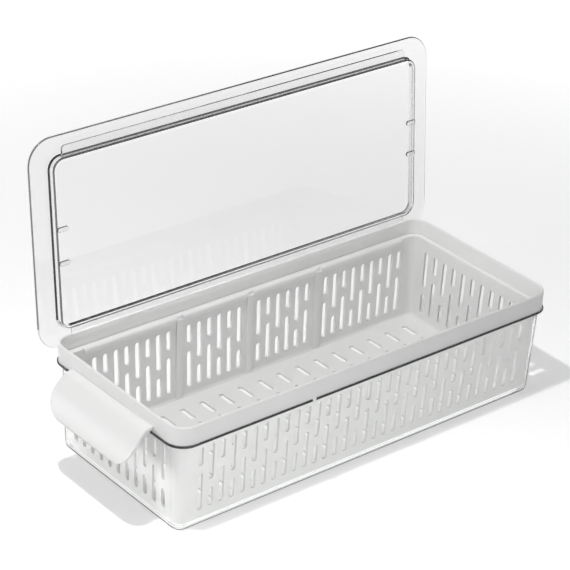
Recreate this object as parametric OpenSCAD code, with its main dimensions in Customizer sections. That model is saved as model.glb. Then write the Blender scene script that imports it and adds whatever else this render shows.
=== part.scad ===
// Fridge produce bin: a clear outer bin, a white slotted colander that hangs in it, a white collar
// frame with a pull handle, and a clear lid that hooks over the rear rim and closes over the top.
// The origin is the middle of the bin's underside, +X runs away from the handle, -Y is the front.

/* [Frame] */
// Length of the frame over its outer faces
frame_len = 380; // [320:1:440]
// Width of the frame over its outer faces
frame_wid = 163; // [145:1:190]
// Height of the frame's outer face above the bin's lip
frame_face = 15.5; // [13:0.5:20]
// Wall thickness of the frame
frame_wall = 2.2; // [1.8:0.1:2.6]
// Corner radius of the frame's outer face
corner_r = 15; // [14:0.5:24]
// Width of each locating tab on the long sides
tab_w = 2.8; // [2:0.1:6]
// Distance of the locating tabs from the middle, towards the handle
tab_x = 62; // [40:1:120]
// Clearance of a locating tab in its notch
tab_gap = 0.4; // [0.2:0.1:0.8]
// Reach of a locating tab past the bin's lip
tab_out = 0.2; // [0:0.1:0.6]
// Height of a locating tab above the bin's lip
tab_h = 3; // [2:0.5:8]
// Height of the locating tab's outer edge above the bin's lip
tab_edge = 0.8; // [0.4:0.1:1.6]

/* [Handle] */
// Width of the handle where it leaves the frame
handle_top_w = 101; // [80:1:112]
// Greatest width of the handle
handle_max_w = 104; // [84:1:118]
// Reach of the handle's lower edge beyond the frame
handle_reach = 25.6; // [24.5:0.1:34]
// Height of the handle's lower edge above the ground
handle_low = 56; // [50:0.5:60]
// Thickness of the handle
handle_th = 2.4; // [1.8:0.1:3]
// Corner radius of the handle's lower corners
handle_corner = 18; // [10:0.5:20]
// Drop of the handle's top below the frame's rim
handle_drop = 11; // [8:0.5:12]
// Outer radius of the handle's tight bend beside the frame
bend_r = 12; // [8:0.5:14]
// Angle that the tight bend turns through
bend_angle = 42; // [38:1:46]
// Outer radius of the handle's long easy curve
grip_r = 54; // [46:1:60]
// Thickness of the gussets under the handle's ends
gusset_th = 2; // [1.6:0.1:3]
// Distance of a gusset in from the handle's side
gusset_in = 1.2; // [0.5:0.1:8]
// Drop of a gusset's lower edge below the bin's lip
gusset_drop = 3.4; // [1:0.1:6]
// Clearance between a gusset and the bin's lip
gusset_gap = 0.5; // [0.3:0.1:1]

/* [Bin] */
// Height of the bin's lip above the ground
bin_h = 81; // [75:0.5:110]
// Wall thickness of the bin
bin_wall = 2.2; // [1.6:0.1:2.6]
// Distance from the frame's face back to the bin's wall, under the lip
bin_inset = 2.7; // [2.4:0.1:3.4]
// Reach of the lip past the frame's face
lip_out = 1.3; // [0.5:0.1:2.5]
// Thickness of the lip
lip_th = 2.2; // [1.6:0.1:3]
// Radius of the bin's lower outer edge
base_r = 7.5; // [5:0.5:8]
// Draft of the moulded walls, in degrees
draft = 2.2; // [1:0.1:2.8]

/* [Colander] */
// Wall thickness of the colander
col_wall = 2; // [1.5:0.1:2.5]
// Clearance between the walls of the colander and the bin
col_gap = 0.8; // [0.5:0.1:1.5]
// Height of the colander's underside above the ground
col_lift = 5.6; // [4.5:0.1:12]
// Thickness of the colander's rim shelf, which rests on the bin's lip
shelf_th = 1.8; // [1.2:0.1:2.4]
// Clearance between the rim shelf and the frame
shelf_gap = 0.4; // [0.3:0.1:0.8]
// Thickness of the rounded rim bars
bar_th = 4.2; // [3:0.1:5]
// Height of the rounded rim bars
bar_h = 5.6; // [5.2:0.1:8]
// Rise of the rim bars above the rim shelf
bar_rise = 1; // [0.4:0.1:2]
// Radius of the colander's lower edge
col_edge_r = 4; // [2:0.5:5]
// Width of a divider rib on the rear wall
rib_w = 6; // [4:0.5:8]
// Distance that a divider rib stands off the rear wall
rib_out = 1.4; // [0.8:0.1:2.5]
// Distance from the bin's lip down to the top of a divider rib
rib_drop = 1; // [0.5:0.1:6]

/* [Slots] */
// Width of a drain slot
slot_w = 4.6; // [3:0.1:5.5]
// Pitch of the slots on the long sides
slot_pitch = 10.31; // [9:0.1:14]
// Pitch of the slots on the short ends
end_pitch = 11.6; // [9:0.1:14]
// Least distance from the last slot of a long side to the end of the frame
side_margin = 24.5; // [22:0.5:40]
// Least distance from the last slot of a short end to the side of the frame
end_margin = 22; // [17:0.5:30]
// Slots between two divider ribs
rib_every = 7; // [5:1:9]
// Lower end of the slots, above the colander's underside
slot_low = 9.4; // [8:0.1:16]
// Distance from the bin's lip down to the upper end of the slots
slot_top_drop = 9; // [8:0.5:16]
// Height of the bridge that parts the two slots of a column
bridge_h = 7.5; // [4:0.5:12]
// Distance from the bin's lip down to the middle of a high bridge
bridge_high_drop = 29.6; // [24:0.5:34]
// Distance between the middles of a high and a low bridge
bridge_step = 15.4; // [12:0.5:18]
// Length of a floor slot
floor_slot_len = 18; // [10:1:20]
// Spacing of the floor slots along the bin
floor_pitch = 20; // [12:1:40]
// Spacing of the rows of floor slots across the bin
floor_row_pitch = 24; // [24:1:40]

/* [Lid] */
// Reach of the lid's flange past the frame at the short ends
lid_over_end = 10; // [6:0.5:12]
// Reach of the lid's flange past the frame on the long sides
lid_over_side = 5; // [4:0.5:6]
// Corner radius of the lid's flange
lid_corner = 21; // [16:0.5:26]
// Thickness of the lid
lid_th = 1.8; // [1.4:0.1:2.2]
// Clearance between the closed lid's flange and the frame's rim
lid_gap = 0.9; // [0.7:0.1:1.2]
// Length of a tongue on the long sides
tongue_len = 4.4; // [3.5:0.1:6]
// Distance of a tongue's end from the end of the lid
tongue_end = 27.7; // [20:0.1:60]
// Clearance between the closed lid's tongues and the frame
tongue_gap = 0.5; // [0.4:0.1:0.8]
// Radius of a tongue's end corners
tongue_corner = 3; // [1:0.5:3.5]
// Clearance between the lid's recessed panel and the frame at the short ends
panel_gap = 1.3; // [0.6:0.1:3]
// Corner radius of the lid's recessed panel
panel_corner = 14.5; // [13:0.5:22]
// Length of a stud on the panel
stud_len = 10; // [6:0.5:14]
// Width of a stud on the panel
stud_w = 3.8; // [2.5:0.1:5]
// Height of a stud on the panel
stud_h = 1.2; // [0.6:0.1:2]
// Distance from the end of the panel to the near end of a stud
stud_end = 4.9; // [3:0.1:12]
// Distance of the studs from the lid's middle line
stud_apart = 13.9; // [8:0.1:40]
// Angle that the open lid leans back
lean = 5.8; // [5:0.1:7]

/* [Hinge line] */
// Distance of the lid's turning line inside the frame's rear face
hinge_in = 2.9; // [2.8:0.1:3]
// Distance of the lid's turning line below the frame's rim
hinge_drop = 3.1; // [3:0.1:3.2]
// Distance of the closed lid's tongues below the turning line
tongue_drop = 0.2; // [0.1:0.1:0.6]

/* [Hidden] */
$fn = 64;

// Slack that a cut reaches past what it cuts
cut = 1;
// Step of a locating tab back from the collar's inner face
tab_back = 0.3;
slope = tan(draft);

// Half sizes of the frame and the corner axes that every wall is swept round
half_l = frame_len / 2;
half_w = frame_wid / 2;
axis_l = half_l - corner_r;
axis_w = half_w - corner_r;
rim_z = bin_h + frame_face;

// Radii at the corners, from the corner axis out, at the level of the bin's lip
bin_out_r = corner_r - bin_inset;
bin_in_r = bin_out_r - bin_wall;
col_out_r = bin_in_r - col_gap;
col_in_r = col_out_r - col_wall;
col_inner_edge = col_edge_r - col_wall / 2;
frame_in_r = corner_r - frame_wall;

// Drain slots of the colander
slot_z0 = col_lift + slot_low;
slot_z1 = bin_h - slot_top_drop;
bridge_high = bin_h - bridge_high_drop;
bridge_low = bridge_high - bridge_step;
side_half = floor((half_l - side_margin) / slot_pitch);
end_half = floor((half_w - end_margin) / end_pitch);

// Rim bars stop short of the corners, and the rear one parts at the divider ribs
bar_end = side_half * slot_pitch;
rib_places = [-rib_every * slot_pitch, 0, rib_every * slot_pitch];

// Handle, in side view: the centres of its two curves and the slope of its lower edge
handle_top = rim_z - handle_drop;
grip_drop = (grip_r - bend_r) * cos(bend_angle) + bend_r;
grip_angle = acos((handle_low - handle_top + grip_drop) / grip_r);
grip_run = grip_r * sin(grip_angle) - (grip_r - bend_r) * sin(bend_angle);
handle_bend = [-half_l - handle_reach + grip_run, handle_top - bend_r];
handle_centre = handle_bend + (grip_r - bend_r) * [sin(bend_angle), -cos(bend_angle)];
// Angle that the easy curve is drawn past the lower edge, where the outline trims it
past_angle = 4;

// Lid, drawn closed and then swung open about its turning line
lid_half_l = half_l + lid_over_end;
lid_half_w = half_w + lid_over_side;
flange_z = rim_z + lid_gap;
hinge_y = half_w - hinge_in;
hinge_z = rim_z - hinge_drop;
tongue_top = hinge_z - tongue_drop;
tongue_half_w = half_w - frame_wall - tongue_gap;
panel_half_l = half_l - frame_wall - panel_gap;
panel_half_w = tongue_half_w - tongue_len;
open_angle = 90 + lean;

white = [0.93, 0.93, 0.92];
clear = [0.78, 0.88, 0.92, 0.4];

// Outline with round corners, from its half sizes
module round_outline(hl, hw, r) {
    square([2 * hl, 2 * (hw - r)], center = true);
    square([2 * (hl - r), 2 * hw], center = true);
    for (x = [-1, 1], y = [-1, 1])
        translate([x * (hl - r), y * (hw - r)])
            circle(r);
}

// Profile carried round the corner axes: its own x runs outward and its y runs up
module sweep_round() {
    for (turn = [0 : 3]) {
        along = turn % 2 == 0 ? axis_w : axis_l;
        out = turn % 2 == 0 ? axis_l : axis_w;
        rotate([0, 0, 90 * turn]) {
            translate([out, along, 0])
                rotate_extrude(angle = 90)
                    children();
            translate([out, along, 0])
                rotate([90, 0, 0])
                    linear_extrude(2 * along)
                        children();
        }
    }
}

// Block with drafted sides and a rounded lower edge; top_r is its corner radius at the bin's lip
module drafted_profile(top_r, z0, z1, edge_r) {
    foot_r = top_r - (bin_h - z0) * slope;
    arc_x = foot_r + edge_r * slope - edge_r / cos(draft);
    arc_top = z0 + edge_r * (1 + sin(draft));
    intersection() {
        polygon([[0, z0], [foot_r, z0], [top_r + (z1 - bin_h) * slope, z1], [0, z1]]);
        union() {
            translate([0, arc_top])
                square([top_r + corner_r, z1 - z0]);
            translate([0, z0])
                square([arc_x, arc_top - z0 + cut]);
            translate([arc_x, z0 + edge_r])
                circle(edge_r);
        }
    }
}

module drafted_block(top_r, z0, z1, edge_r) {
    sweep_round()
        drafted_profile(top_r, z0, z1, edge_r);
    translate([-axis_l, -axis_w, z0])
        cube([2 * axis_l, 2 * axis_w, z1 - z0]);
}

// Clear outer bin with its lip and the notches for the frame's tabs
module bin() {
    color(clear)
        difference() {
            union() {
                drafted_block(bin_out_r, 0, bin_h, base_r);
                sweep_round()
                    lip_profile();
            }
            drafted_block(bin_in_r, bin_wall, bin_h + cut, base_r - bin_wall);
            for (side = [-1, 1])
                tab_notch(-tab_x, side);
        }
}

// Notch in the lip, as deep as the frame's wall, for one of the frame's tabs
module tab_notch(x, side) {
    wide = tab_w + 2 * tab_gap;
    deep = lip_out + frame_wall + tab_gap;
    y0 = half_w - frame_wall + tab_back - tab_gap;
    translate([x - wide / 2, side > 0 ? y0 : -y0 - deep - cut, bin_h - lip_th - cut])
        cube([wide, deep + cut, lip_th + 2 * cut]);
}

// The lip's outer edge is a half round
module lip_profile() {
    edge = corner_r + lip_out - lip_th / 2;
    translate([bin_in_r + bin_wall / 2, bin_h - lip_th])
        square([edge - bin_in_r - bin_wall / 2, lip_th]);
    translate([edge, bin_h - lip_th / 2])
        circle(lip_th / 2);
}

// One drain slot through a wall, along Y, with round ends
module slot(z0, z1) {
    r = slot_w / 2;
    rotate([90, 0, 0])
        linear_extrude(2 * corner_r, center = true)
            union() {
                translate([-r, z0 + r])
                    square([slot_w, z1 - z0 - slot_w]);
                for (z = [z0 + r, z1 - r])
                    translate([0, z])
                        circle(r);
            }
}

// A column of two slots; the bridge between them sits high or low by turns
module slot_column(high) {
    bridge = high ? bridge_high : bridge_low;
    slot(slot_z0, bridge - bridge_h / 2);
    slot(bridge + bridge_h / 2, slot_z1);
}

// A wall's row of slot columns, each leaning with the drafted corner beside it; the row starts
// with a high bridge (0) or a low one (1)
module slot_row(places, half, wall_y, start, skipped) {
    for (i = [0 : len(places) - 1])
        if (len([for (x = skipped) if (abs(x - places[i]) < slot_w) x]) == 0)
            translate([places[i], wall_y, bin_h])
                rotate([0, atan(slope * places[i] / half), 0])
                    translate([0, 0, -bin_h])
                        slot_column(i % 2 == start);
}

// White slotted basket
module colander() {
    side = [for (i = [-side_half : side_half]) i * slot_pitch];
    ends = [for (i = [-end_half : end_half]) i * end_pitch];
    wall_y = axis_w + col_out_r - col_wall / 2;
    wall_x = axis_l + col_out_r - col_wall / 2;
    color(white)
        difference() {
            union() {
                difference() {
                    union() {
                        drafted_block(col_out_r, col_lift, bin_h, col_edge_r);
                        sweep_round()
                            shelf_profile();
                    }
                    drafted_block(col_in_r, col_lift + col_wall, bin_h + shelf_th + cut, col_inner_edge);
                }
                rim_bar(-1, -bar_end, bar_end);
                for (i = [0 : len(rib_places)])
                    rim_bar(1, i == 0 ? -bar_end : rib_places[i - 1] + rib_w / 2,
                        i == len(rib_places) ? bar_end : rib_places[i] - rib_w / 2);
                for (x = rib_places)
                    divider_rib(x);
            }
            slot_row(side, half_l, -wall_y, 0, []);
            slot_row(side, half_l, wall_y, 0, rib_places);
            for (turn = [90, -90])
                rotate([0, 0, turn])
                    slot_row(ends, half_w, -wall_x, 1, []);
            floor_slots();
        }
}

// Shelf round the colander's rim, which rests on the bin's lip inside the frame
module shelf_profile() {
    inner = col_in_r;
    translate([inner, bin_h])
        square([frame_in_r - shelf_gap - inner, shelf_th]);
}

// Rounded bar along a stretch of a long side's rim
module rim_bar(side, x0, x1) {
    r = bar_th / 2;
    top = bin_h + shelf_th + bar_rise;
    translate([x0, side * (axis_w + col_out_r - r), 0])
        rotate([90, 0, 90])
            linear_extrude(x1 - x0) {
                translate([-r, top - bar_h + r])
                    square([bar_th, bar_h - bar_th]);
                for (z = [top - bar_h + r, top - r])
                    translate([0, z])
                        circle(r);
            }
}

// Upright rib on the inside of the rear wall, which a divider would slide behind
module divider_rib(x) {
    foot = axis_w + col_in_r - (bin_h - col_lift - col_wall) * slope;
    head = axis_w + col_in_r;
    translate([x + rib_w / 2, 0, 0])
        rotate([0, -90, 0])
            linear_extrude(rib_w)
                polygon([
                    [col_lift + col_wall / 2, foot - rib_out],
                    [bin_h - rib_drop, head - rib_out],
                    [bin_h - rib_drop, head + col_wall / 2],
                    [col_lift + col_wall / 2, foot + col_wall / 2]
                ]);
}

// Rows of drain slots in the floor
module floor_slots() {
    columns = floor((axis_l - slot_w / 2) / floor_pitch);
    rows = floor((axis_w - floor_slot_len / 2) / floor_row_pitch);
    straight = floor_slot_len - slot_w;
    for (i = [-columns : columns], j = [-rows : rows])
        translate([i * floor_pitch, j * floor_row_pitch, col_lift - cut])
            linear_extrude(col_wall + 2 * cut)
                union() {
                    square([slot_w, straight], center = true);
                    for (y = [-1, 1])
                        translate([0, y * straight / 2])
                            circle(slot_w / 2);
                }
}

// White collar with its pull handle
module frame() {
    color(white)
        union() {
            sweep_round()
                collar_profile();
            for (side = [-1, 1]) {
                tab(-tab_x, side);
                gusset(side);
            }
            handle();
        }
}

// The collar's wall stands on the bin's lip and ends in a full round
module collar_profile() {
    r = frame_wall / 2;
    translate([frame_in_r, bin_h])
        square([frame_wall, frame_face - r]);
    translate([frame_in_r + r, rim_z - r])
        circle(r);
}

// Tab that drops through the lip's notch and keeps the frame from sliding
module tab(x, side) {
    low = bin_h - lip_th;
    inner = half_w - frame_wall + tab_back;
    outer = half_w + lip_out + tab_out;
    translate([x + tab_w / 2, 0, 0])
        rotate([0, -90, 0])
            linear_extrude(tab_w)
                polygon([
                    [low, side * inner],
                    [low, side * outer],
                    [bin_h + tab_edge, side * outer],
                    [bin_h + tab_h, side * half_w],
                    [bin_h + tab_h, side * inner]
                ]);
}

// Upright web under an end of the handle, from the collar's face out past the bin's lip
module gusset(side) {
    low = bin_h - gusset_drop;
    step = bin_h + gusset_gap;
    inner = -half_l - lip_out - gusset_gap;
    wall = -half_l + frame_wall / 2;
    y = side * (handle_top_w / 2 - gusset_in - gusset_th / 2);
    mid_bend = bend_r - handle_th / 2;
    mid_grip = grip_r - handle_th / 2;
    rise = low - handle_centre[1];
    root = [[inner, low], [inner, step], [wall, step], [wall, handle_top - handle_th / 2]];
    knee = [for (i = [0 : 4]) handle_bend + mid_bend * [-sin(i * bend_angle / 4), cos(i * bend_angle / 4)]];
    foot = [handle_centre[0] - sqrt(mid_grip * mid_grip - rise * rise), low];
    translate([0, y + gusset_th / 2, 0])
        rotate([90, 0, 0])
            linear_extrude(gusset_th)
                polygon(concat(root, knee, [foot]));
}

// Pull handle: a bent plate, cut to its outline seen from the end
module handle() {
    intersection() {
        translate([0, handle_max_w / 2 + cut, 0])
            rotate([90, 0, 0])
                linear_extrude(handle_max_w + 2 * cut)
                    handle_section();
        translate([-half_l - handle_reach - 2 * cut, 0, 0])
            rotate([90, 0, 90])
                linear_extrude(handle_reach + frame_wall + 2 * cut)
                    handle_outline();
    }
}

// Side view of the handle: level off the frame, round a tight bend, then down a long easy curve
module handle_section() {
    translate([handle_bend[0], handle_top - handle_th])
        square([-half_l + frame_wall / 2 - handle_bend[0], handle_th]);
    translate(handle_bend)
        arc_band(bend_r, 0, bend_angle);
    translate(handle_centre)
        arc_band(grip_r, bend_angle, grip_angle + past_angle);
}

// Part of a ring, handle_th thick inside its radius, between two angles from straight up towards -X
module arc_band(r, a0, a1) {
    far = 2 * r;
    intersection() {
        difference() {
            circle(r, $fn = 96);
            circle(r - handle_th, $fn = 96);
        }
        polygon([
            [0, 0],
            [-far * sin(a0), far * cos(a0)],
            [-far * sin((a0 + a1) / 2), far * cos((a0 + a1) / 2)],
            [-far * sin(a1), far * cos(a1)]
        ]);
    }
}

// End view of the handle: it widens downward, then closes in on round lower corners
module handle_outline() {
    wide = handle_max_w / 2 - handle_corner;
    mid = handle_low + handle_corner;
    right = [for (a = [0 : 5 : 90]) [wide + handle_corner * cos(a), mid - handle_corner * sin(a)]];
    left = [for (i = [len(right) - 1 : -1 : 0]) [-right[i][0], right[i][1]]];
    top = [handle_top_w / 2, handle_top + cut];
    polygon(concat([top], right, left, [[-top[0], top[1]]]));
}

// Clear lid, standing open at the back
module lid() {
    color(clear)
        translate([0, hinge_y, hinge_z])
            rotate([-open_angle, 0, 0])
                translate([0, -hinge_y, -hinge_z])
                    closed_lid();
}

// The lid as it lies when closed: a flange over the rim, a recessed panel and two tongues
module closed_lid() {
    panel_z = tongue_top - lid_th;
    tongue_half_l = lid_half_l - tongue_end;
    translate([0, 0, panel_z])
        linear_extrude(lid_th)
            round_outline(panel_half_l, panel_half_w, panel_corner);
    translate([0, 0, panel_z])
        linear_extrude(flange_z + lid_th - panel_z)
            difference() {
                round_outline(panel_half_l, panel_half_w, panel_corner);
                round_outline(panel_half_l - lid_th, panel_half_w - lid_th, panel_corner - lid_th);
            }
    translate([0, 0, flange_z])
        linear_extrude(lid_th)
            difference() {
                round_outline(lid_half_l, lid_half_w, lid_corner);
                round_outline(panel_half_l - lid_th, panel_half_w - lid_th, panel_corner - lid_th);
            }
    for (side = [-1, 1])
        tongue(side, tongue_half_l, panel_z);
    for (x = [-1, 1], y = [-1, 1])
        translate([x * (panel_half_l - stud_end - stud_len / 2), y * stud_apart, panel_z - stud_h])
            stud();
}

// Oblong stud on the panel's underside
module stud() {
    straight = stud_len - stud_w;
    linear_extrude(stud_h + lid_th / 2)
        union() {
            square([straight, stud_w], center = true);
            for (x = [-1, 1])
                translate([x * straight / 2, 0])
                    circle(stud_w / 2);
        }
}

// Tongue along a long side, with round end corners
module tongue(side, half, z) {
    tip = tongue_half_w;
    inner = tip - tongue_corner;
    translate([0, 0, z])
        linear_extrude(lid_th) {
            translate([-half, side > 0 ? panel_half_w - lid_th : -inner])
                square([2 * half, inner - panel_half_w + lid_th]);
            translate([-half + tongue_corner, side > 0 ? panel_half_w : -tip])
                square([2 * (half - tongue_corner), tip - panel_half_w]);
            for (x = [-1, 1])
                translate([x * (half - tongue_corner), side * inner])
                    circle(tongue_corner);
        }
}

bin();
colander();
frame();
lid();
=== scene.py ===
"""Dresses the fridge produce bin in clear and white plastics, on a stage with the photograph's camera."""

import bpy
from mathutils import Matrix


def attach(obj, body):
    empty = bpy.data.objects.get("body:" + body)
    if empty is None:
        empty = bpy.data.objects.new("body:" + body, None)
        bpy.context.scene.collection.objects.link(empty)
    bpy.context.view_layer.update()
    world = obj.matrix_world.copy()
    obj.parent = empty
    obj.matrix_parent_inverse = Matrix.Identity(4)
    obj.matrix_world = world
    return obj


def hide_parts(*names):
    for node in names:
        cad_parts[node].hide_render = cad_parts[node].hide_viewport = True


bl_info = {
    "name": "Fridge produce bin",
    "version": (1, 0, 0),
    "blender": (4, 5, 0),
    "location": "3D View > Sidebar > Produce bin",
    "description": "Finishes the clear bin, its white colander and frame, the clear lid and the stage",
    "category": "Object",
}

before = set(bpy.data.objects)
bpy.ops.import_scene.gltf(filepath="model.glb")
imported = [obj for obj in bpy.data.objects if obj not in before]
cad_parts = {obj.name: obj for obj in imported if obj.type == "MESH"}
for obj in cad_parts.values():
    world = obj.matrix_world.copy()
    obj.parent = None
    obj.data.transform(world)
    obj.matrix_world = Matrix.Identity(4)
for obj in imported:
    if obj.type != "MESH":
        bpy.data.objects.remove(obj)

import math

import bmesh
import bpy
from mathutils import Matrix, Vector

MM = 0.001

# Camera
PHOTO_SIDE = 570
SENSOR_MM = 36.0
FAR_CLIP = 50

# Meshes
WELD = 0.005 * MM
SMOOTH_ANGLE = math.radians(30)
FULL_WEIGHT = 100
QUARTER_STEPS = 16
BEND_STEPS = 4
RIM_STEPS = 6
TONGUE_STEPS = 6
STUD_STEPS = 3
STUD_QUARTER_STEPS = 6
STUD_ROUNDING = 0.3 * MM
STUD_GAP = 0.02 * MM
SHORTEST_EDGE = 0.01 * MM

# Edge attribute, the painted shade on the clear plastics' edges: red darkens from outside, green from within,
# blue where seen edge on
EDGE_SHADE_LAYER = "edge"
CLEAR = (0, 0, 0)
ROUND_CORNER = (0, 0, 1)
EDGE_ON_START = 0.5
EDGE_ON_FULL = 0.8

# Where the CAD bin has its corners, lip and rounded foot, which get painted edge shade, with slopes and turns
# in degrees
CORNER_AXIS = (175 * MM, 66.5 * MM)
LIP_LOW = 78.7 * MM
LIP_START = 13 * MM
LIP_EDGE_START = 15.1 * MM
TOP_FACING = 0.9
FOOT_TOP = 8 * MM
FOOT_LEAST_SLOPE = 12
FOOT_GREATEST_SLOPE = 80
CORNER_LEAST_TURN = 1
CORNER_GREATEST_TURN = 89

# Fine texture of the mouldings
GRAIN_DETAIL = 2.0
MOTTLE_SCALE = 14.0
MOTTLE_DETAIL = 3.0
ROUNDING_SAMPLES = 4
BUMP_STRENGTH = 0.05
BUMP_DEPTH = 0.05 * MM


class LidSettings(bpy.types.PropertyGroup):
    """Sizes of the clear lid, as it lies when closed."""
    flange: bpy.props.FloatVectorProperty(
        name="Flange", description="Half length, half width and corner radius of the flange",
        default=(200 * MM, 86.5 * MM, 21 * MM), unit="LENGTH")
    panel: bpy.props.FloatVectorProperty(
        name="Panel", description="Half length, half width and corner radius of the sunken panel",
        default=(182 * MM, 70 * MM, 10 * MM), unit="LENGTH")
    levels: bpy.props.FloatVectorProperty(
        name="Levels", description="Heights of the panel's underside and the flange's underside", size=2,
        unit="LENGTH", default=(91.4 * MM, 97.4 * MM))
    thickness: bpy.props.FloatProperty(
        name="Thickness", description="Thickness of the lid", default=1.8 * MM, unit="LENGTH")
    fillet: bpy.props.FloatProperty(
        name="Fillet", description="Radius of the rounded edges of the sunken panel",
        default=1.2 * MM, unit="LENGTH")
    tongue: bpy.props.FloatVectorProperty(
        name="Tongue", description="Half length, outer edge and corner radius of the tongues", unit="LENGTH",
        default=(172.3 * MM, 79 * MM, 3 * MM))
    tongue_lift: bpy.props.FloatProperty(
        name="Tongue lift", description="Height of the tongues above the panel's underside",
        default=1.4 * MM, unit="LENGTH")
    stud: bpy.props.FloatVectorProperty(
        name="Stud", description="Length, width and height of a stud", unit="LENGTH",
        default=(10 * MM, 3.8 * MM, 1.2 * MM))
    stud_place: bpy.props.FloatVectorProperty(
        name="Stud place", description="Distance of the studs' middles along and across the lid", size=2,
        unit="LENGTH", default=(176.6 * MM, 13.9 * MM))
    hinge: bpy.props.FloatVectorProperty(
        name="Turning line", description="Place of the line the lid turns about, back from the middle and up",
        size=2, unit="LENGTH", default=(78.6 * MM, 93.4 * MM))
    open_angle: bpy.props.FloatProperty(
        name="Opening", description="Angle the lid stands open at",
        default=math.radians(95.8), subtype="ANGLE")


class EdgeSettings(bpy.types.PropertyGroup):
    """How dark the painted shade on the clear plastics' edges is, from 0 to 1, and where it is painted
    lighter beside the white rim.
    """
    lip_edge: bpy.props.FloatProperty(
        name="Lip edge", description="Outer edge of the bin's lip", default=0.95, min=0, max=1)
    lip_inner: bpy.props.FloatProperty(
        name="Lip inner part", description="Part of the bin's lip beside the wall", default=0.6, min=0, max=1)
    foot: bpy.props.FloatProperty(
        name="Foot", description="The bin's rounded foot, seen edge on", default=0.9, min=0, max=1)
    panel_under: bpy.props.FloatProperty(
        name="Panel underside", description="Rounded edge of the panel's underside",
        default=0.85, min=0, max=1)
    flange_under: bpy.props.FloatProperty(
        name="Flange underside", description="Rounded corner from the ring to the flange's underside",
        default=1.0, min=0, max=1)
    flange_rim: bpy.props.FloatProperty(
        name="Flange rim", description="Round rim of the flange", default=0.8, min=0, max=1)
    panel_top: bpy.props.FloatProperty(
        name="Panel top", description="Rounded corner from the ring to the panel's top",
        default=0.5, min=0, max=1)
    tongue: bpy.props.FloatProperty(
        name="Tongue", description="Edge of the tongues", default=0.45, min=0, max=1)
    stud_side: bpy.props.FloatProperty(
        name="Stud side", description="Side of the studs", default=0.8, min=0, max=1)
    stud_round: bpy.props.FloatProperty(
        name="Stud rounding", description="Rounded edge of the studs", default=0.95, min=0, max=1)
    rim_share: bpy.props.FloatProperty(
        name="Share by the rim", description="Share of their darkness that edges beside the white rim keep",
        default=0.35, min=0, max=1)
    rim_height: bpy.props.FloatProperty(
        name="Height by the rim", description="Height above the turning line up to which edges lighten",
        default=16 * MM, unit="LENGTH")


class PlasticSettings(bpy.types.PropertyGroup):
    """Colours and gloss of the plastics, and the colour of the painted shade on the clear plastics' edges."""
    white: bpy.props.FloatVectorProperty(
        name="White", description="Colour of the frame and colander", subtype="COLOR",
        default=(0.86, 0.86, 0.855), min=0, max=1)
    white_gloss: bpy.props.FloatVectorProperty(
        name="White roughness", description="Least and greatest roughness of the white plastic", size=2,
        default=(0.30, 0.39), min=0, max=1)
    white_ior: bpy.props.FloatProperty(
        name="White refraction", description="Index of refraction of the white plastic",
        default=1.48, min=1, max=2)
    white_rounding: bpy.props.FloatProperty(
        name="White rounding", description="Radius that the white plastic's edges seem rounded by",
        default=0.45 * MM, unit="LENGTH")
    clear_bin: bpy.props.FloatVectorProperty(
        name="Clear bin", description="Tint of the clear bin", subtype="COLOR",
        default=(0.975, 0.98, 0.975), min=0, max=1)
    clear_lid: bpy.props.FloatVectorProperty(
        name="Clear lid", description="Tint of the clear lid", subtype="COLOR",
        default=(0.90, 0.90, 0.90), min=0, max=1)
    clear_gloss: bpy.props.FloatVectorProperty(
        name="Clear roughness", description="Least and greatest roughness of the clear plastic", size=2,
        default=(0.0, 0.02), min=0, max=1)
    clear_ior: bpy.props.FloatProperty(
        name="Clear refraction", description="Index of refraction of the clear plastic",
        default=1.49, min=1, max=2)
    # Painted shade: the dark colour painted on the clear plastics' edges and on their corners seen edge on.
    painted_edge_shade: bpy.props.FloatVectorProperty(
        name="Dark edges", description="Colour that the clear plastics' edges gather", subtype="COLOR",
        default=(0.025, 0.027, 0.028), min=0, max=1)
    edge_gloss: bpy.props.FloatVectorProperty(
        name="Edge roughness", description="Least and greatest roughness of the clear plastics' edges",
        size=2, default=(0.06, 0.12), min=0, max=1)
    grain: bpy.props.FloatProperty(
        name="Grain", description="Width of the fine moulded grain", default=0.7 * MM, unit="LENGTH")


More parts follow.
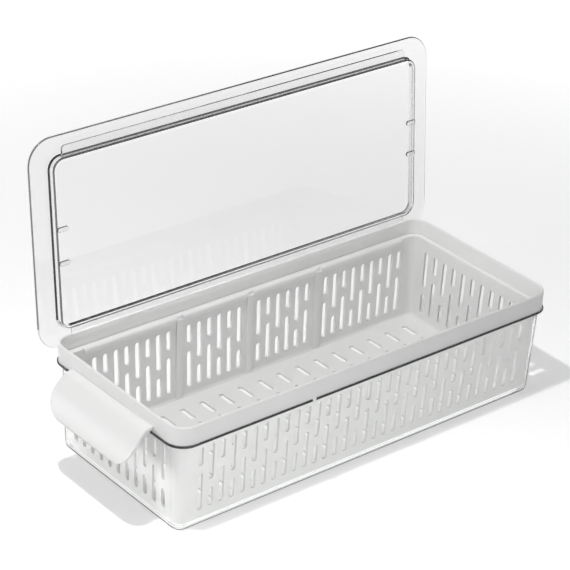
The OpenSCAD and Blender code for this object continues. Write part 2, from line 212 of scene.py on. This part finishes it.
class StageSettings(bpy.types.PropertyGroup):
    """The photograph's camera, and the floor, the lamps and the black cards."""
    azimuth: bpy.props.FloatProperty(
        name="Azimuth", description="Turn of the camera about the upright",
        default=-0.71462, subtype="ANGLE")
    elevation: bpy.props.FloatProperty(
        name="Elevation", description="Height angle of the camera", default=0.49633, subtype="ANGLE")
    roll: bpy.props.FloatProperty(
        name="Roll", description="Turn of the camera about its own axis", default=0.05827, subtype="ANGLE")
    focal_px: bpy.props.FloatProperty(
        name="Focal length", description="Focal length in photo pixels", default=2327.1)
    offset: bpy.props.FloatVectorProperty(
        name="Offset", description="Place of the origin in the camera's own axes", unit="LENGTH",
        default=(0.013873, -0.10764, 1.884992))
    floor_side: bpy.props.FloatProperty(
        name="Floor", description="Side of the floor", default=8.0, unit="LENGTH")
    floor_colour: bpy.props.FloatProperty(
        name="Floor colour", description="Grey of the floor", default=0.88, min=0, max=1)
    floor_glow: bpy.props.FloatProperty(
        name="Floor glow", description="White that the floor adds for the eye, mirrors and glass",
        default=0.35, min=0)
    far_glow: bpy.props.FloatProperty(
        name="Far glow", description="The same, far from the object", default=0.92, min=0)
    glow_reach: bpy.props.FloatVectorProperty(
        name="Glow reach", description="Distances at which the far glow starts and is full",
        size=2, unit="LENGTH", default=(0.3, 1.3))
    sky: bpy.props.FloatProperty(
        name="Sky", description="Strength of the world's even light", default=0.12, min=0)
    key_place: bpy.props.FloatVectorProperty(
        name="Key place", description="Place of the small lamp that casts the shadows", unit="LENGTH",
        default=(-0.447, -0.081, 1.277))
    key_size: bpy.props.FloatVectorProperty(
        name="Key size", description="Sides of the key lamp", size=2, unit="LENGTH", default=(0.05, 0.05))
    key_power: bpy.props.FloatProperty(
        name="Key power", description="Power of the key lamp", default=7.6, min=0)
    top_place: bpy.props.FloatVectorProperty(
        name="Top place", description="Place of the large soft lamp overhead", unit="LENGTH",
        default=(0.1, 0.2, 1.6))
    top_size: bpy.props.FloatVectorProperty(
        name="Top size", description="Sides of the lamp overhead", size=2, unit="LENGTH",
        default=(2.0, 1.6))
    top_power: bpy.props.FloatProperty(
        name="Top power", description="Power of the lamp overhead", default=5.8, min=0)
    front_place: bpy.props.FloatVectorProperty(
        name="Front place", description="Place of the soft lamp before the front", unit="LENGTH",
        default=(-0.25, -0.55, 0.25))
    front_aim: bpy.props.FloatVectorProperty(
        name="Front aim", description="Point that the front lamp faces", unit="LENGTH",
        default=(-0.1, 0, 0.06))
    front_size: bpy.props.FloatVectorProperty(
        name="Front size", description="Sides of the front lamp", size=2, unit="LENGTH",
        default=(0.5, 0.3))
    front_power: bpy.props.FloatProperty(
        name="Front power", description="Power of the front lamp", default=1.0, min=0)
    side_place: bpy.props.FloatVectorProperty(
        name="Side place", description="Place of the soft lamp beside the handle", unit="LENGTH",
        default=(-0.8, 0.4, 0.13))
    side_aim: bpy.props.FloatVectorProperty(
        name="Side aim", description="Point that the side lamp faces", unit="LENGTH",
        default=(-0.19, 0, 0.06))
    side_size: bpy.props.FloatVectorProperty(
        name="Side size", description="Sides of the side lamp", size=2, unit="LENGTH",
        default=(0.5, 0.22))
    side_power: bpy.props.FloatProperty(
        name="Side power", description="Power of the side lamp", default=1.55, min=0)
    card_size: bpy.props.FloatVectorProperty(
        name="Card size", description="Length and height of the black cards", size=2, unit="LENGTH",
        default=(3.0, 0.9))
    card_place: bpy.props.FloatVectorProperty(
        name="Card place", description="Distance of the black cards from the origin, and their mid height",
        size=2, unit="LENGTH", default=(1.7, 0.5))
    card_grey: bpy.props.FloatProperty(
        name="Card grey", description="Grey of the black cards", default=0.01, min=0, max=1)


def alone(obj):
    """Selects one object and nothing else."""
    bpy.ops.object.select_all(action="DESELECT")
    obj.select_set(True)
    bpy.context.view_layer.objects.active = obj


def merged_copy(node, name):
    """A copy of a CAD node with its loose triangles joined and its round faces smooth."""
    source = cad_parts[node]
    piece = source.copy()
    piece.data = source.data.copy()
    piece.name = name
    piece.parent = None
    piece.matrix_world = Matrix.Identity(4)
    bpy.context.collection.objects.link(piece)
    for key in list(piece.keys()):
        if key.startswith("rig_"):
            del piece[key]
    alone(piece)
    bpy.ops.object.mode_set(mode="EDIT")
    bpy.ops.mesh.select_all(action="SELECT")
    bpy.ops.mesh.remove_doubles(threshold=WELD)
    bpy.ops.object.mode_set(mode="OBJECT")
    smooth_rounds(piece)
    return piece


def smooth_rounds(piece):
    """Shades round faces smooth and keeps flat ones flat, by weighting the normals by area."""
    alone(piece)
    bpy.ops.object.shade_smooth_by_angle(angle=SMOOTH_ANGLE)
    weighted = piece.modifiers.new("flat faces stay flat", "WEIGHTED_NORMAL")
    weighted.mode = "FACE_AREA"
    weighted.weight = FULL_WEIGHT
    weighted.keep_sharp = True
    bpy.ops.object.modifier_apply(modifier=weighted.name)


def rounded_loop(half_l, half_w, radius, z, steps=QUARTER_STEPS):
    """Points round a rectangle with round corners, the same number whatever its size."""
    points = []
    for quarter, (x, y) in enumerate(((1, 1), (-1, 1), (-1, -1), (1, -1))):
        middle = Vector((x * (half_l - radius), y * (half_w - radius), z))
        for step in range(steps + 1):
            angle = (quarter + step / steps) * math.pi / 2
            points.append(middle + radius * Vector((math.cos(angle), math.sin(angle), 0)))
    return points


def arc(middle, radius, start, end, steps):
    """Points (out, up) on an arc between two angles in degrees."""
    angles = [math.radians(start + (end - start) * i / steps) for i in range(steps + 1)]
    return [(middle[0] + radius * math.cos(a), middle[1] + radius * math.sin(a)) for a in angles]


def lofted(mesh, loops, strengths):
    """Closed solid through loops of equal length; returns each new face with the strength of its painted edge
    shade.
    """
    rings = [[mesh.verts.new(point) for point in loop] for loop in loops]
    count = len(rings[0])
    marks = []
    for low, high, strength in zip(rings, rings[1:], strengths):
        for i in range(count):
            j = (i + 1) % count
            marks.append((mesh.faces.new((low[i], low[j], high[j], high[i])), strength))
    marks.append((mesh.faces.new(rings[0][::-1]), 0))
    marks.append((mesh.faces.new(rings[-1]), 0))
    return marks


def new_material(name):
    """A new material with its nodes, its links and its Principled shader."""
    material = bpy.data.materials.new(name)
    material.use_nodes = True
    nodes = material.node_tree.nodes
    return material, nodes, material.node_tree.links, nodes["Principled BSDF"]


def fine_grain_group():
    """Node group: fine moulded grain, as a height, and a slow mottle, both from Object coordinates."""
    name = "Moulded grain"
    if name in bpy.data.node_groups:
        return bpy.data.node_groups[name]
    group = bpy.data.node_groups.new(name, "ShaderNodeTree")
    group.interface.new_socket("Grain scale", in_out="INPUT", socket_type="NodeSocketFloat")
    group.interface.new_socket("Height", in_out="OUTPUT", socket_type="NodeSocketFloat")
    group.interface.new_socket("Mottle", in_out="OUTPUT", socket_type="NodeSocketFloat")
    nodes, links = group.nodes, group.links
    inside = nodes.new("NodeGroupInput")
    outside = nodes.new("NodeGroupOutput")
    place = nodes.new("ShaderNodeTexCoord")
    grain = nodes.new("ShaderNodeTexNoise")
    grain.inputs["Detail"].default_value = GRAIN_DETAIL
    mottle = nodes.new("ShaderNodeTexNoise")
    mottle.inputs["Scale"].default_value = MOTTLE_SCALE
    mottle.inputs["Detail"].default_value = MOTTLE_DETAIL
    links.new(place.outputs["Object"], grain.inputs["Vector"])
    links.new(place.outputs["Object"], mottle.inputs["Vector"])
    links.new(inside.outputs["Grain scale"], grain.inputs["Scale"])
    links.new(grain.outputs["Fac"], outside.inputs["Height"])
    links.new(mottle.outputs["Fac"], outside.inputs["Mottle"])
    return group


def mottled_roughness(nodes, links, shader, grain, gloss):
    """Feeds the shader's roughness from the slow mottle, between two values; returns the grain group."""
    group = nodes.new("ShaderNodeGroup")
    group.node_tree = fine_grain_group()
    group.inputs["Grain scale"].default_value = 1 / grain
    rough = nodes.new("ShaderNodeMapRange")
    rough.inputs["To Min"].default_value, rough.inputs["To Max"].default_value = gloss
    links.new(group.outputs["Mottle"], rough.inputs["Value"])
    links.new(rough.outputs["Result"], shader.inputs["Roughness"])
    return group


def white_plastic(name, plastic):
    """Satin white plastic with a fine grain and slightly rounded edges."""
    material, nodes, links, shader = new_material(name)
    group = mottled_roughness(nodes, links, shader, plastic.grain, plastic.white_gloss)
    rounded = nodes.new("ShaderNodeBevel")
    rounded.samples = ROUNDING_SAMPLES
    rounded.inputs["Radius"].default_value = plastic.white_rounding
    bump = nodes.new("ShaderNodeBump")
    bump.inputs["Strength"].default_value = BUMP_STRENGTH
    bump.inputs["Distance"].default_value = BUMP_DEPTH
    links.new(rounded.outputs["Normal"], bump.inputs["Normal"])
    links.new(group.outputs["Height"], bump.inputs["Height"])
    links.new(bump.outputs["Normal"], shader.inputs["Normal"])
    shader.inputs["Base Color"].default_value = (*plastic.white, 1)
    shader.inputs["IOR"].default_value = plastic.white_ior
    return material


def edge_parts(nodes, links):
    """The three channels of the edge attribute, which says where shade is painted on the clear edges."""
    edge = nodes.new("ShaderNodeAttribute")
    edge.attribute_name = EDGE_SHADE_LAYER
    parts = nodes.new("ShaderNodeSeparateColor")
    links.new(edge.outputs["Color"], parts.inputs["Color"])
    return parts


def edge_on_shade_mask(nodes, links, parts):
    """Painted shade: the attribute's blue channel, where the face is seen edge on."""
    facing = nodes.new("ShaderNodeLayerWeight")
    grazing = nodes.new("ShaderNodeMapRange")
    grazing.interpolation_type = "SMOOTHSTEP"
    grazing.inputs["From Min"].default_value = EDGE_ON_START
    grazing.inputs["From Max"].default_value = EDGE_ON_FULL
    links.new(facing.outputs["Facing"], grazing.inputs["Value"])
    edge_on = nodes.new("ShaderNodeMath")
    edge_on.operation = "MULTIPLY"
    links.new(grazing.outputs["Result"], edge_on.inputs[0])
    links.new(parts.outputs["Blue"], edge_on.inputs[1])
    return edge_on.outputs["Value"]


def clear_plastic(name, colour, plastic):
    """Clear moulded plastic, very slightly mottled, with painted shade where a round corner is seen edge on.
    """
    material, nodes, links, shader = new_material(name)
    mottled_roughness(nodes, links, shader, plastic.grain, plastic.clear_gloss)
    # Painted shade: the tint turns to the dark edge colour where a round corner is seen edge on.
    tint_with_edge_shade = nodes.new("ShaderNodeMix")
    tint_with_edge_shade.data_type = "RGBA"
    tint_with_edge_shade.inputs["A"].default_value = (*colour, 1)
    tint_with_edge_shade.inputs["B"].default_value = (*plastic.painted_edge_shade, 1)
    links.new(edge_on_shade_mask(nodes, links, edge_parts(nodes, links)), tint_with_edge_shade.inputs["Factor"])
    links.new(tint_with_edge_shade.outputs["Result"], shader.inputs["Base Color"])
    shader.inputs["Transmission Weight"].default_value = 1.0
    shader.inputs["IOR"].default_value = plastic.clear_ior
    return material


def shaded_edge_plastic(name, plastic):
    """Edge of a clear moulding, painted with shade as dark as its edge attribute says for the side it is seen
    from.
    """
    material, nodes, links, shader = new_material(name)
    mottled_roughness(nodes, links, shader, plastic.grain, plastic.edge_gloss)
    shader.inputs["Base Color"].default_value = (*plastic.painted_edge_shade, 1)
    shader.inputs["IOR"].default_value = plastic.clear_ior
    parts = edge_parts(nodes, links)
    side = nodes.new("ShaderNodeNewGeometry")
    from_side = nodes.new("ShaderNodeMix")
    links.new(side.outputs["Backfacing"], from_side.inputs["Factor"])
    links.new(parts.outputs["Red"], from_side.inputs["A"])
    links.new(parts.outputs["Green"], from_side.inputs["B"])
    seen = nodes.new("ShaderNodeMath")
    seen.operation = "MAXIMUM"
    links.new(from_side.outputs["Result"], seen.inputs[0])
    links.new(edge_on_shade_mask(nodes, links, parts), seen.inputs[1])
    links.new(seen.outputs["Value"], shader.inputs["Alpha"])
    return material


def dress(piece, node):
    """Puts a piece in the place of its CAD node."""
    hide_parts(node)
    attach(piece, node)


def white_moulding(node, name, material_name):
    """A CAD node in white plastic, in the place of that node."""
    piece = merged_copy(node, name)
    piece.data.materials.clear()
    piece.data.materials.append(white_plastic(material_name, bpy.context.scene.produce_bin_plastic))
    dress(piece, node)


def clear_moulding(piece, title, colour, strength):
    """Gives a piece its clear plastic, and the edge plastic with painted shade where strength(face) says that
    it is dark.

    The strength is kept as a colour on the corners of each face. A round corner stays clear plastic, and so
    does a face that isn't dark at all. Clear plastic casts no shadow of its own.
    """
    plastic = bpy.context.scene.produce_bin_plastic
    mesh = piece.data
    mesh.materials.clear()
    mesh.materials.append(clear_plastic(title + " plastic", colour, plastic))
    mesh.materials.append(shaded_edge_plastic(title + " edge", plastic))
    layer = mesh.color_attributes.new(EDGE_SHADE_LAYER, "FLOAT_COLOR", "CORNER")
    for face in mesh.polygons:
        dark = strength(face)
        face.material_index = 0 if dark in (CLEAR, ROUND_CORNER) else 1
        for corner in face.loop_indices:
            layer.data[corner].color = (*dark, 1)
    piece.visible_shadow = False


class PRODUCEBIN_OT_bin(bpy.types.Operator):
    """Makes the clear outer bin"""
    bl_idname = "produce_bin.bin"
    bl_label = "Clear bin"

    def execute(self, context):
        edges = context.scene.produce_bin_edges
        lip_edge = (edges.lip_edge, edges.lip_edge, 0)
        lip_inner = (edges.lip_inner, edges.lip_inner, 0)
        foot = (0, 0, edges.foot)
        piece = merged_copy("bin", "clear_bin")
        clear_moulding(piece, "Clear bin", context.scene.produce_bin_plastic.clear_bin,
                       lambda face: self.strength(face, lip_edge, lip_inner, foot))
        dress(piece, "bin")
        return {"FINISHED"}

    @staticmethod
    def strength(face, lip_edge, lip_inner, foot):
        """The strength of the painted edge shade on the lip, the rounded foot and the round corners, by place
        and slope.
        """
        place, normal = face.center, face.normal
        over_x, over_y = abs(place.x) - CORNER_AXIS[0], abs(place.y) - CORNER_AXIS[1]
        out = math.hypot(max(over_x, 0), max(over_y, 0))
        if place.z > LIP_LOW and out > LIP_START and normal.z < TOP_FACING:
            return lip_edge if out > LIP_EDGE_START else lip_inner
        down = math.degrees(math.asin(max(-1, min(1, -normal.z))))
        if place.z < FOOT_TOP and FOOT_LEAST_SLOPE < abs(down) < FOOT_GREATEST_SLOPE:
            return foot
        turn = math.degrees(math.atan2(abs(normal.y), abs(normal.x)))
        upright = abs(down) < FOOT_LEAST_SLOPE
        if upright and CORNER_LEAST_TURN < turn < CORNER_GREATEST_TURN and over_x > 0 and over_y > 0:
            return ROUND_CORNER
        return CLEAR


class PRODUCEBIN_OT_colander(bpy.types.Operator):
    """Makes the white slotted colander"""
    bl_idname = "produce_bin.colander"
    bl_label = "Colander"

    def execute(self, context):
        white_moulding("colander", "slotted_colander", "White basket plastic")
        return {"FINISHED"}


class PRODUCEBIN_OT_frame(bpy.types.Operator):
    """Makes the white frame with its pull handle"""
    bl_idname = "produce_bin.frame"
    bl_label = "Frame and handle"

    def execute(self, context):
        white_moulding("frame", "collar_frame", "White frame plastic")
        return {"FINISHED"}


class PRODUCEBIN_OT_lid(bpy.types.Operator):
    """Makes the clear lid"""
    bl_idname = "produce_bin.lid"
    bl_label = "Clear lid"

    def execute(self, context):
        lid, edges = context.scene.produce_bin_lid, context.scene.produce_bin_edges
        mesh = bmesh.new()
        marks = self.sheet(mesh, lid, edges)
        for side in (-1, 1):
            marks += self.tongue(mesh, lid, edges, side)
        for x in (-1, 1):
            for y in (-1, 1):
                marks += self.stud(mesh, lid, edges, x, y)
        turn = Matrix.Translation((0, *lid.hinge)) @ Matrix.Rotation(-lid.open_angle, 4, "X")
        mesh.transform(turn @ Matrix.Translation((0, -lid.hinge[0], -lid.hinge[1])))
        bmesh.ops.recalc_face_normals(mesh, faces=mesh.faces)
        mesh.faces.index_update()
        # Painted shade on edges low enough to lie beside the white rim is painted lighter.
        rim_top = lid.hinge[1] + edges.rim_height
        strength = {}
        for face, dark in marks:
            shade_lightened_by_rim = face.calc_center_median().z < rim_top
            strength[face.index] = (dark * edges.rim_share if shade_lightened_by_rim else dark, 0, 0)
        data = bpy.data.meshes.new("clear_lid")
        mesh.to_mesh(data)
        mesh.free()
        piece = bpy.data.objects.new("clear_lid", data)
        context.collection.objects.link(piece)
        smooth_rounds(piece)
        clear_moulding(piece, "Clear lid", context.scene.produce_bin_plastic.clear_lid,
                       lambda face: strength[face.index])
        dress(piece, "lid")
        return {"FINISHED"}

    @staticmethod
    def sheet(mesh, lid, edges):
        """The sunken panel, its upright ring and the flange round it, as one closed sheet."""
        low, high = lid.levels
        th, r = lid.thickness, lid.fillet
        bends = (
            (lid.panel, arc((-r, low + r), r, -90, 0, BEND_STEPS), edges.panel_under),
            (lid.panel, arc((r, high - r), r, 180, 90, BEND_STEPS), edges.flange_under),
            (lid.flange, arc((-th / 2, high + th / 2), th / 2, -90, 90, RIM_STEPS), edges.flange_rim),
            (lid.panel, arc((-th + r, high + th - r), r, 90, 180, BEND_STEPS), 0),
            (lid.panel, arc((-th - r, low + th + r), r, 0, -90, BEND_STEPS), edges.panel_top),
        )
        loops, marks = [], []
        for size, points, strength in bends:
            for i, (out, up) in enumerate(points):
                loops.append(rounded_loop(size[0] + out, size[1] + out, size[2] + out, up))
                marks.append(strength if i else 0)
        return lofted(mesh, loops, marks[1:])

    @staticmethod
    def tongue(mesh, lid, edges, side):
        """Slab along a long side, from the ring's wall outward, with round outer corners."""
        half, tip, r = lid.tongue
        root = lid.panel[1] - lid.thickness / 2
        low = lid.levels[0] + lid.tongue_lift
        outline = [(-half, root)]
        outline += arc((r - half, tip - r), r, 180, 90, TONGUE_STEPS)
        outline += arc((half - r, tip - r), r, 90, 0, TONGUE_STEPS)
        outline.append((half, root))
        loops = [[Vector((x, side * y, up)) for x, y in outline] for up in (low, low + lid.thickness)]
        return lofted(mesh, loops, [edges.tongue])

    @staticmethod
    def stud(mesh, lid, edges, x, y):
        """Oblong stud on the panel's underside, with a rounded free edge."""
        length, width, height = lid.stud
        middle = Vector((x * lid.stud_place[0], y * lid.stud_place[1], 0))
        seat = lid.levels[0] - STUD_GAP
        rounding = arc((-STUD_ROUNDING, seat - height + STUD_ROUNDING), STUD_ROUNDING, 0, -90, STUD_STEPS)
        loops = []
        for out, up in [(0, seat), *rounding]:
            half = width / 2 + out
            loop = rounded_loop(length / 2 + out, half, half - SHORTEST_EDGE, up, STUD_QUARTER_STEPS)
            loops.append([point + middle for point in loop])
        return lofted(mesh, loops, [edges.stud_side] + [edges.stud_round] * STUD_STEPS)


def matt(shader, grey):
    """Makes a shader a plain grey without gloss."""
    shader.inputs["Base Color"].default_value = (grey, grey, grey, 1)
    shader.inputs["Roughness"].default_value = 1.0
    shader.inputs["Specular IOR Level"].default_value = 0.0


def shown_white(name, stage):
    """The floor: a grey that takes light and shadow, and a glow that only eye, mirror and glass see."""
    material, nodes, links, shader = new_material(name)
    matt(shader, stage.floor_colour)
    shader.inputs["Emission Color"].default_value = (1, 1, 1, 1)
    place = nodes.new("ShaderNodeTexCoord")
    reach = nodes.new("ShaderNodeVectorMath")
    reach.operation = "LENGTH"
    links.new(place.outputs["Object"], reach.inputs[0])
    level = nodes.new("ShaderNodeMapRange")
    level.interpolation_type = "SMOOTHSTEP"
    level.inputs["From Min"].default_value, level.inputs["From Max"].default_value = stage.glow_reach
    level.inputs["To Min"].default_value = stage.floor_glow
    level.inputs["To Max"].default_value = stage.far_glow
    links.new(reach.outputs["Value"], level.inputs["Value"])
    path = nodes.new("ShaderNodeLightPath")
    seen = path.outputs["Is Camera Ray"]
    for ray in ("Is Glossy Ray", "Is Transmission Ray"):
        either = nodes.new("ShaderNodeMath")
        either.operation = "MAXIMUM"
        links.new(seen, either.inputs[0])
        links.new(path.outputs[ray], either.inputs[1])
        seen = either.outputs["Value"]
    strength = nodes.new("ShaderNodeMath")
    strength.operation = "MULTIPLY"
    links.new(seen, strength.inputs[0])
    links.new(level.outputs["Result"], strength.inputs[1])
    links.new(strength.outputs["Value"], shader.inputs["Emission Strength"])
    return material


def card_material(grey):
    """Matt material, the same for every card."""
    material, _, _, shader = new_material("Black card")
    matt(shader, grey)
    return material


def dark_card(name, material, place, turn, size):
    """Black card beside the set, which shows only in the gloss and through the clear plastics."""
    bpy.ops.mesh.primitive_plane_add(size=1, location=place, rotation=(math.pi / 2, 0, turn))
    card = bpy.context.active_object
    card.name = name
    card.scale = (*size, 1)
    alone(card)
    bpy.ops.object.transform_apply(location=True, rotation=True, scale=True)
    card.data.materials.append(material)
    card.visible_camera = False
    card.visible_diffuse = False
    card.visible_shadow = False


def area_lamp(name, place, target, size, power):
    """Rectangular soft lamp at a place, facing a target."""
    lamp = bpy.data.lights.new(name, "AREA")
    lamp.shape = "RECTANGLE"
    lamp.size, lamp.size_y = size
    lamp.energy = power
    obj = bpy.data.objects.new(name, lamp)
    bpy.context.collection.objects.link(obj)
    aim = Vector(target) - Vector(place)
    obj.location = place
    obj.rotation_euler = aim.to_track_quat("-Z", "Y").to_euler()


class PRODUCEBIN_OT_stage(bpy.types.Operator):
    """Makes the floor, the lamps, the black cards and the photograph's camera"""
    bl_idname = "produce_bin.stage"
    bl_label = "Stage"

    def execute(self, context):
        stage = context.scene.produce_bin_stage
        self.floor(stage)
        self.world(context, stage)
        origin = (0, 0, 0)
        area_lamp("key lamp", stage.key_place, origin, stage.key_size, stage.key_power)
        area_lamp("top lamp", stage.top_place, origin, stage.top_size, stage.top_power)
        area_lamp("front lamp", stage.front_place, stage.front_aim, stage.front_size, stage.front_power)
        area_lamp("side lamp", stage.side_place, stage.side_aim, stage.side_size, stage.side_power)
        self.cards(stage)
        self.camera(stage)
        context.scene.view_settings.view_transform = "Standard"
        return {"FINISHED"}

    @staticmethod
    def floor(stage):
        """The plain floor, under the bin's base."""
        bpy.ops.mesh.primitive_plane_add(size=stage.floor_side, location=(0, 0, 0))
        floor = bpy.context.active_object
        floor.name = "floor"
        floor.data.materials.append(shown_white("Floor", stage))

    @staticmethod
    def world(context, stage):
        """An even white world."""
        world = bpy.data.worlds.new("Studio")
        world.use_nodes = True
        context.scene.world = world
        back = world.node_tree.nodes["Background"]
        back.inputs["Color"].default_value = (1, 1, 1, 1)
        back.inputs["Strength"].default_value = stage.sky

    @staticmethod
    def cards(stage):
        """One black card on each of the four sides."""
        black = card_material(stage.card_grey)
        distance, height = stage.card_place
        for index in range(4):
            angle = index * math.pi / 2
            out = Vector((math.sin(angle), -math.cos(angle), 0)) * distance
            dark_card("black card %d" % (index + 1), black, (out.x, out.y, height), angle, stage.card_size)

    @staticmethod
    def camera(stage):
        """The photograph's camera, from its fitted angles and the place of the origin in its view."""
        sin_a, cos_a = math.sin(stage.azimuth), math.cos(stage.azimuth)
        sin_e, cos_e = math.sin(stage.elevation), math.cos(stage.elevation)
        back = Vector((sin_a * cos_e, -cos_a * cos_e, sin_e))
        level = Vector((cos_a, sin_a, 0))
        upright = back.cross(level)
        right = math.cos(stage.roll) * level + math.sin(stage.roll) * upright
        up = math.cos(stage.roll) * upright - math.sin(stage.roll) * level
        x, y, depth = stage.offset
        place = -x * right - y * up + depth * back
        camera = bpy.data.cameras.new("photo camera")
        camera.sensor_width = SENSOR_MM
        camera.lens = stage.focal_px / PHOTO_SIDE * SENSOR_MM
        camera.clip_end = FAR_CLIP
        obj = bpy.data.objects.new("photo camera", camera)
        turn = Matrix((right, up, back)).transposed().to_4x4()
        obj.matrix_world = Matrix.Translation(place) @ turn
        bpy.context.collection.objects.link(obj)
        bpy.context.scene.camera = obj


class PRODUCEBIN_PT_panel(bpy.types.Panel):
    bl_label = "Produce bin"
    bl_idname = "PRODUCEBIN_PT_panel"
    bl_space_type = "VIEW_3D"
    bl_region_type = "UI"
    bl_category = "Produce bin"

    def draw(self, context):
        scene = context.scene
        clear = (scene.produce_bin_lid, scene.produce_bin_edges)
        for group in (*clear, scene.produce_bin_plastic, scene.produce_bin_stage):
            box = self.layout.box()
            for name in group.__annotations__:
                box.prop(group, name)
        for maker in MAKERS:
            self.layout.operator(maker.bl_idname)


PIECES = (PRODUCEBIN_OT_bin, PRODUCEBIN_OT_colander, PRODUCEBIN_OT_frame, PRODUCEBIN_OT_lid)
MAKERS = (*PIECES, PRODUCEBIN_OT_stage)
CLASSES = (LidSettings, EdgeSettings, PlasticSettings, StageSettings, *MAKERS, PRODUCEBIN_PT_panel)


def register():
    for cls in CLASSES:
        bpy.utils.register_class(cls)
    bpy.types.Scene.produce_bin_lid = bpy.props.PointerProperty(type=LidSettings)
    bpy.types.Scene.produce_bin_edges = bpy.props.PointerProperty(type=EdgeSettings)
    bpy.types.Scene.produce_bin_plastic = bpy.props.PointerProperty(type=PlasticSettings)
    bpy.types.Scene.produce_bin_stage = bpy.props.PointerProperty(type=StageSettings)


def unregister():
    del bpy.types.Scene.produce_bin_lid
    del bpy.types.Scene.produce_bin_edges
    del bpy.types.Scene.produce_bin_plastic
    del bpy.types.Scene.produce_bin_stage
    for cls in reversed(CLASSES):
        bpy.utils.unregister_class(cls)


def main():
    register()
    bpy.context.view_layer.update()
    bpy.ops.produce_bin.bin()
    bpy.ops.produce_bin.colander()
    bpy.ops.produce_bin.frame()
    bpy.ops.produce_bin.lid()
    bpy.ops.produce_bin.stage()


if __name__ == "__main__":
    main()
